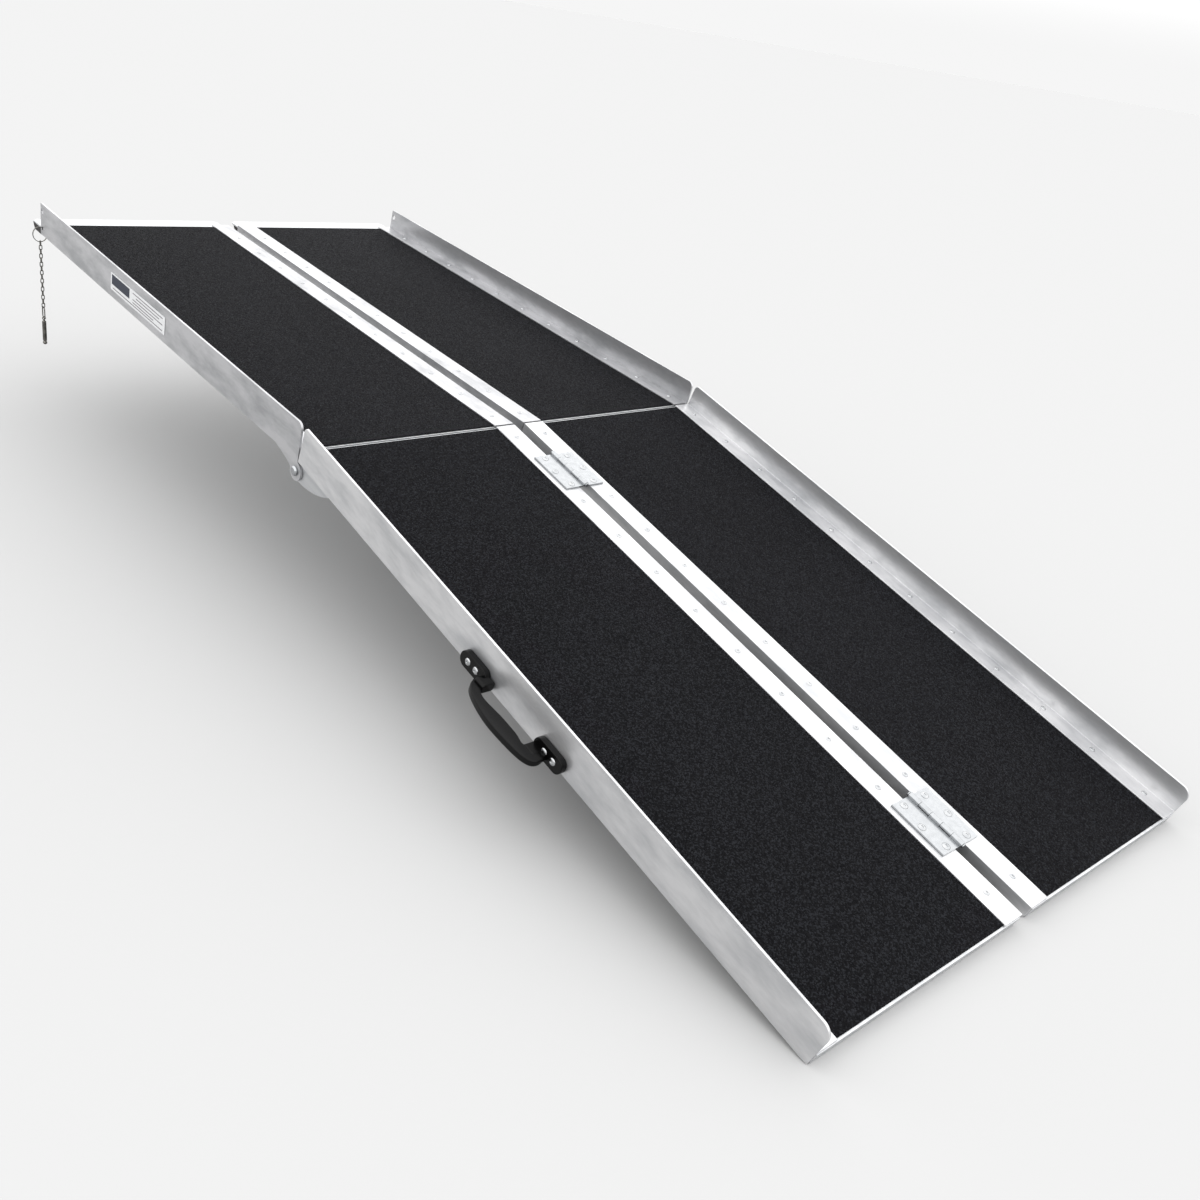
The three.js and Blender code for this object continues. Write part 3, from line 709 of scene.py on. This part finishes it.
for side in SIDES:
    rounded_copy(f"{side}_lip", 0.6, SHEET["upper"], f"{side}_lip_plate")
    node = f"{side}_lip_pad"
    low, high = extent(node, "upper")
    pad = bmesh.new()
    outline = [pad.verts.new((low.x, y, z)) for y, z in ribbed_outline(low, high, front=8.0)]
    end_face = pad.faces.new(outline)
    grown = bmesh.ops.extrude_face_region(pad, geom=[end_face])["geom"]
    moved = [part for part in grown if isinstance(part, bmesh.types.BMVert)]
    bmesh.ops.translate(pad, verts=moved, vec=(high.x - low.x, 0, 0))
    clean(pad)
    finish_piece(f"{node}_ribbed", pad, HALF["upper"], [RUBBER], body_of_node(node), [node])
print("two lips and two pads with", RIB_COUNT, "ribs each")

# %% [markdown]
# ## Carry handle
# The handle is one nylon moulding: two flat tabs riveted to the rail and a bow that stands off far enough
# for the fingers. Its upper side is flat and the underside is rounded, so the bow is drawn from above as a
# strip of faces between an inner and an outer curve, then thickened downwards and rounded most along its
# lower edges.

# %% [markdown]
# ### A smooth line through a few points
# The bow's outline needs only a handful of points. A Catmull-Rom curve passes through each of them and
# bends evenly in between, so the points stay few enough to change by hand.

# %% Helper for a smooth line through a few points
def through(points, steps):
    """Points on a smooth curve through the given ones, with evenly shared steps."""
    pts = [Vector(point) for point in points]
    ends = [pts[0] * 2 - pts[1], *pts, pts[-1] * 2 - pts[-2]]
    line = []
    for a, b, c, d in zip(ends, ends[1:], ends[2:], ends[3:]):
        for step in range(steps):
            t = step / steps
            line.append(0.5 * (2 * b + (c - a) * t + (2 * a - 5 * b + 4 * c - d) * t * t
                               + (3 * b - 3 * c + d - a) * t ** 3))
    return [*line, pts[-1]]


# %% [markdown]
# ### Tabs, legs and bow
# The tabs are plates with round ends. A short leg, a rounded box a little deeper than the grip, carries the
# bow out from each tab.

# %% The handle
handle_low, handle_high = extent("carry_handle", "lower")
TAB_THICK = 8.0
TAB_HIGH = 20.0
TAB_LENGTH = 46.0
TAB_EDGE = 0.9
HANDLE_GAP = 0.3  # between the rail and the tabs
GRIP_TOP = 0.5  # from the tabs' middle line up to the bow's flat side
GRIP_DEEP = 9.0
face_x = -HALF_WIDTH - HANDLE_GAP
handle_z = -6.0  # the tabs' middle line, from the tread
HANDLE_ENDS = (handle_high.y, handle_low.y)
BOW_INNER = [
    (0, -52), (-17, -54), (-23, -66), (-20.5, -95), (-20, -120), (-22, -134), (-16, -141), (0, -141),
]
BOW_OUTER = [
    (0, -40), (-15, -37), (-30, -50), (-38.5, -85), (-38.5, -118), (-33.5, -150), (-22, -161), (0, -155),
]
BOW_STEPS = 6
UNDER_ROUND = 4.6
TOP_ROUND = 1.4


def rounded_box(bm, low, high, radius, segments, upright_radius, axis):
    """A box whose edges along one axis have a large radius and whose other edges have a small one."""
    size = [b - a for a, b in zip(low, high)]
    centre = [(a + b) / 2 for a, b in zip(low, high)]
    made = bmesh.ops.create_cube(bm, size=1.0,
                                 matrix=Matrix.Translation(centre) @ Matrix.Diagonal((*size, 1)))
    edges = {edge for vert in made["verts"] for edge in vert.link_edges}
    long_ways = [e for e in edges if abs((e.verts[0].co - e.verts[1].co).normalized()[axis]) > 0.9]
    bmesh.ops.bevel(bm, geom=long_ways, offset=upright_radius, offset_type="OFFSET", segments=8, profile=0.5,
                    affect="EDGES", material=-1)
    rims = [e for e in bm.edges if e.is_manifold and e.calc_face_angle() > math.radians(60)]
    bmesh.ops.bevel(bm, geom=rims, offset=radius, offset_type="OFFSET", segments=segments, profile=0.5,
                    affect="EDGES", material=-1)


tab_starts = (HANDLE_ENDS[0], HANDLE_ENDS[1] + TAB_LENGTH)
for end_name, start in zip(("upper", "lower"), tab_starts):
    tab = bmesh.new()
    rounded_box(tab, (face_x - TAB_THICK, start - TAB_LENGTH, handle_z - TAB_HIGH / 2),
                (face_x, start, handle_z + TAB_HIGH / 2),
                radius=TAB_EDGE, segments=3, upright_radius=TAB_HIGH / 2 - 0.6, axis=0)
    finish_piece(f"carry_handle_{end_name}_tab", tab, HALF["lower"], [NYLON], "lower_left")

bow = bmesh.new()
top_z = handle_z + GRIP_TOP
inner_curve = [(face_x + x, HANDLE_ENDS[0] + y, top_z) for x, y in through(BOW_INNER, BOW_STEPS)]
outer_curve = [(face_x + x, HANDLE_ENDS[0] + y, top_z) for x, y in through(BOW_OUTER, BOW_STEPS)]
rungs = [(bow.verts.new(a), bow.verts.new(b)) for a, b in zip(inner_curve, outer_curve)]
flat_side = [bow.faces.new((p[0], q[0], q[1], p[1])) for p, q in zip(rungs, rungs[1:])]
grown = bmesh.ops.extrude_face_region(bow, geom=flat_side)["geom"]
under = [part for part in grown if isinstance(part, bmesh.types.BMVert)]
bmesh.ops.translate(bow, verts=under, vec=(0, 0, -GRIP_DEEP))
clean(bow)


def rim(bm, height):
    """The sharp edges of a bmesh that lie at one height."""
    return [e for e in bm.edges if e.is_manifold and e.calc_face_angle() > EDGE
            and all(abs(v.co.z - height) < 0.01 for v in e.verts)]


bmesh.ops.bevel(bow, geom=rim(bow, top_z - GRIP_DEEP), offset=UNDER_ROUND, offset_type="OFFSET", segments=6,
                profile=0.5,
                affect="EDGES", material=-1, clamp_overlap=True)
bmesh.ops.bevel(bow, geom=rim(bow, top_z), offset=TOP_ROUND, offset_type="OFFSET", segments=3, profile=0.5,
                affect="EDGES", material=-1, clamp_overlap=True)
LEGS = {  # lowest and highest corner of each leg
    "upper": ((-18, -55, -7), (0, -40, 5)),
    "lower": ((-24, -152, -9), (0, -136, 1)),
}
for end_name, (low, high) in LEGS.items():
    corner = Vector((face_x, HANDLE_ENDS[0], handle_z))
    leg = bmesh.new()
    rounded_box(leg, corner + Vector(low), corner + Vector(high), radius=1.4, segments=3,
                upright_radius=3.6, axis=1)
    finish_piece(f"carry_handle_{end_name}_leg", leg, HALF["lower"], [NYLON], "lower_left")
finish_piece("carry_handle_bow", bow, HALF["lower"], [NYLON], "lower_left",
             ["carry_handle"])

# %% [markdown]
# ### The handle's rivets
# Two rivets through each tab are set from outside. They have the same profile in other sizes, turned to
# face out from the rail.

# %% The handle's rivets
RAIL_WALL = 3.0
HANDLE_RIVET = rivet_pattern(head=4.4, height=1.5, grip=TAB_THICK + RAIL_WALL, tail=4.0)
RIVET_FROM_END = (14.0, 28.5)
rivets = bmesh.new()
outward = Matrix.Rotation(math.radians(-90), 4, "Y")
for end, way in zip(HANDLE_ENDS, (-1, 1)):
    for distance in RIVET_FROM_END:
        stamp(rivets, HANDLE_RIVET,
              Matrix.Translation((face_x - TAB_THICK, end + way * distance, handle_z + 0.5)) @ outward)
finish_piece("carry_handle_rivets", rivets, HALF["lower"], [RIVET], "lower_left")
stand_off = -min(x for x, _, _ in outer_curve) - HALF_WIDTH
print("the handle's bow stands", round(stand_off), "mm off the rail")

# %% [markdown]
# ## Label
# A printed vinyl label sits on the upper left rail. Its marks are generic: a plain navy block and rows of
# grey bars stand for the print, with no letters. The print is a layer of its own, a few hundredths of a
# millimetre thick.

# %% The label
label_low, label_high = extent("label", "upper")
CORNER = 1.5
PRINT_THICK = 0.05


def film(bm, y0, y1, z0, z1, x, thick, corner):
    """A thin upright sheet with rounded corners, from x outwards."""
    middle = Matrix.Translation((x - thick / 2, (y0 + y1) / 2, (z0 + z1) / 2))
    made = bmesh.ops.create_cube(bm, size=1.0, matrix=middle @ Matrix.Diagonal((thick, y1 - y0, z1 - z0, 1)))
    edges = {e for v in made["verts"] for e in v.link_edges}
    across = [e for e in edges if abs((e.verts[0].co - e.verts[1].co).normalized().x) > 0.9]
    if corner:
        bmesh.ops.bevel(bm, geom=across, offset=corner, offset_type="OFFSET", segments=4, profile=0.5,
                        affect="EDGES", material=-1)


base = bmesh.new()
film(base, label_low.y, label_high.y, label_low.z, label_high.z,
     label_high.x, label_high.x - label_low.x, CORNER)
finish_piece("label_film", base, HALF["upper"], [FILM], "upper_left", ["label"])

label_long = label_high.y - label_low.y
label_tall = label_high.z - label_low.z
BLOCK_LONG = 0.36  # of the label's length
BLOCK_FOOT = 0.34  # of the label's height, below the block
BLOCK_CORNER = 0.6
block = bmesh.new()
film(block, label_high.y - BLOCK_LONG * label_long, label_high.y - 4,
     label_low.z + BLOCK_FOOT * label_tall, label_high.z - 2.5, label_low.x, PRINT_THICK, BLOCK_CORNER)
finish_piece("label_block", block, HALF["upper"], [NAVY], "upper_left")

bars = bmesh.new()
BAR_TALL = 1.5
BAR_ROWS = [  # start and end along the label, and height up it
    (0.04, 0.58, 0.80), (0.10, 0.52, 0.62), (0.04, 0.58, 0.44), (0.20, 0.58, 0.27), (0.04, 0.96, 0.12),
]
for start, end, height in BAR_ROWS:
    z = label_low.z + height * label_tall
    film(bars, label_low.y + start * label_long, label_low.y + end * label_long, z, z + BAR_TALL,
         label_low.x, PRINT_THICK, 0)
finish_piece("label_rows", bars, HALF["upper"], [ROWS], "upper_left")
print("a label of", round(label_long), "by", round(label_tall), "mm")

# %% [markdown]
# ## Tether: split ring, chain, end link and lock pin
# The pin that locks the folded ramp hangs on a short chain. A split ring is a wire wound twice, so its
# section is spun almost two turns while it moves sideways. A chain link is a wire bent into an oval: a
# circle is spun round one end, pushed along the side, spun round the other end and pushed back. Each link
# stands at right angles to the last.

# %% The split ring
ring_low, ring_high = (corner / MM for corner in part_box("split_ring"))
RING_WIRE = 1.2
ring_middle = (ring_low + ring_high) / 2
ring_radius = (ring_high.x - ring_low.x - RING_WIRE) / 2
RING_STEPS = 44  # in one turn
COIL_SHARE = 0.97  # the coil stops just short of two full turns
hang = Matrix.Scale(MM, 4)

ring = bmesh.new()
bmesh.ops.create_circle(ring, segments=10, radius=RING_WIRE / 2, cap_ends=True)
bmesh.ops.translate(ring, verts=ring.verts, vec=ring_middle + Vector((ring_radius, -RING_WIRE / 2, 0)))
start_face = ring.faces[:]
bmesh.ops.spin(ring, geom=start_face, cent=ring_middle, axis=(0, 1, 0),
               dvec=(0, RING_WIRE / RING_STEPS,
                     0), angle=2 * math.tau * COIL_SHARE, steps=2 * RING_STEPS, use_merge=False,
               use_duplicate=False)
clean(ring)
finish_piece("split_ring_coil", ring, hang, [NICKEL_PAINTED_DARK], "ring", ["split_ring"])
print("a ring of", round(2 * ring_radius + RING_WIRE, 1), "mm")


# %% [markdown]
# ### The chain's links
# One link is made once and stamped down the chain. The first stands square to the ring, so that the ring's
# wire passes through it, and each next one is turned by a quarter. The last then takes the end link's wire.

# %% The chain
def oval_link(length, width, wire, sides=10, steps=9):
    """A mesh of one oval wire link in the YZ plane, centred, with its long side along Z."""
    bm = bmesh.new()
    radius = (width - wire) / 2
    half_straight = (length - width) / 2
    bmesh.ops.create_circle(bm, segments=sides, radius=wire / 2)
    bmesh.ops.translate(bm, verts=bm.verts, vec=(0, radius, -half_straight))
    last = bm.edges[:]
    for end in (1, -1):
        pushed = bmesh.ops.extrude_edge_only(bm, edges=last)["geom"]
        verts = [part for part in pushed if isinstance(part, bmesh.types.BMVert)]
        bmesh.ops.translate(bm, verts=verts, vec=(0, 0, end * 2 * half_straight))
        ring_edges = [part for part in pushed if isinstance(part, bmesh.types.BMEdge)
                      and all(v in verts for v in part.verts)]
        turned = bmesh.ops.spin(bm, geom=verts + ring_edges, cent=(0, 0, end * half_straight), axis=(1, 0, 0),
                                dvec=(0, 0,
                                      0), angle=math.pi, steps=steps, use_merge=False, use_duplicate=False)
        last = [part for part in turned["geom_last"] if isinstance(part, bmesh.types.BMEdge)]
    clean(bm)
    mesh = bpy.data.meshes.new("link")
    bm.to_mesh(mesh)
    bm.free()
    return mesh


CHAIN_WIRE = 1.6
CHAIN_LINK_WIDTH = 6.2
LINK_COUNT = 16
RING_CLEAR = 0.5  # the first link's reach past the ring's wire
LINK_TRIM = 0.1  # a link is this much shorter than its pitch and two wires, so neighbours press together
chain_low, chain_high = (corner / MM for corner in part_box("tether_chain"))
link_low, link_high = (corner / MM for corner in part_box("end_link"))
END_WIRE = 2.0
chain_top = ring_low.z + RING_WIRE + CHAIN_WIRE + RING_CLEAR
chain_end = link_high.z - END_WIRE - CHAIN_WIRE
pitch = (chain_top - chain_end - 2 * CHAIN_WIRE) / LINK_COUNT
small_link = oval_link(pitch + 2 * CHAIN_WIRE - LINK_TRIM, CHAIN_LINK_WIDTH, CHAIN_WIRE)
chain = bmesh.new()
chain_x = (chain_low.x + chain_high.x) / 2
chain_y = (chain_low.y + chain_high.y) / 2
FIRST_TURN = 0  # degrees: the first link stands square to the ring's wire, which passes through it
for index in range(LINK_COUNT):
    z = chain_top - CHAIN_WIRE - (index + 0.5) * pitch
    turned = Matrix.Rotation(math.radians(FIRST_TURN + 90 * index), 4, "Z")
    stamp(chain, small_link, Matrix.Translation((chain_x, chain_y, z)) @ turned)
finish_piece("tether_chain_links", chain, hang, [NICKEL_PAINTED_DARK], "chain", ["tether_chain"])
print(f"{LINK_COUNT} links at a pitch of {pitch:.2f} mm")

# %% [markdown]
# ### End link and lock pin
# The end link is the same oval in a larger size. The pin is turned from rod, with a rounded tip and a neck
# behind it, and it has a small wire eye at the top.

# %% The end link and the lock pin
big_link = oval_link(link_high.z - link_low.z, link_high.y - link_low.y, END_WIRE, sides=12, steps=12)
last_link = bmesh.new()
stamp(last_link, big_link, Matrix.Translation((link_low + link_high) / 2))
finish_piece("end_link_wire", last_link, hang, [NICKEL_PAINTED_DARK], "pin", ["end_link"])

pin_low, pin_high = (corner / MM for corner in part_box("lock_pin"))
PIN_RADIUS = 3.6
EYE_RADIUS = 2.6
EYE_WIRE = 1.5
EYE_DROP = 3.9  # from the pin's top to the eye's middle
eye_z = pin_high.z - EYE_DROP
shank_top = eye_z - EYE_RADIUS
tip = pin_low.z
pin_profile = [
    (0, tip), (1.5, tip + 0.3), (3.0, tip + 1.2), (3.9, tip + 2.8), (3.9, tip + 3.8), (3.5, tip + 5.0),
    (2.9, tip + 6.0), (2.9, tip + 6.8), (3.5, tip + 7.6), (PIN_RADIUS, tip + 8.0), (PIN_RADIUS,
                                                                                    shank_top - 3.0),
    (3.2, shank_top - 2.2), (1.8, shank_top - 1.4), (1.6, shank_top + 0.2), (0, shank_top + 0.3),
]
pin = bmesh.new()
pin_x = (pin_low.x + pin_high.x) / 2
pin_y = (pin_low.y + pin_high.y) / 2
stamp(pin, spun(pin_profile, 28), Matrix.Translation((pin_x, pin_y, 0)))
eye = oval_link(2 * EYE_RADIUS + EYE_WIRE, 2 * EYE_RADIUS + EYE_WIRE - 0.01, EYE_WIRE, sides=10, steps=12)
stamp(pin, eye, Matrix.Translation((pin_x, pin_y, eye_z)) @ Matrix.Rotation(math.radians(90), 4, "Z"))
finish_piece("lock_pin_turned", pin, hang, [NICKEL_PAINTED_DARK], "pin", ["lock_pin"])
print("the pin is", round(pin_high.z - pin_low.z), "mm long")
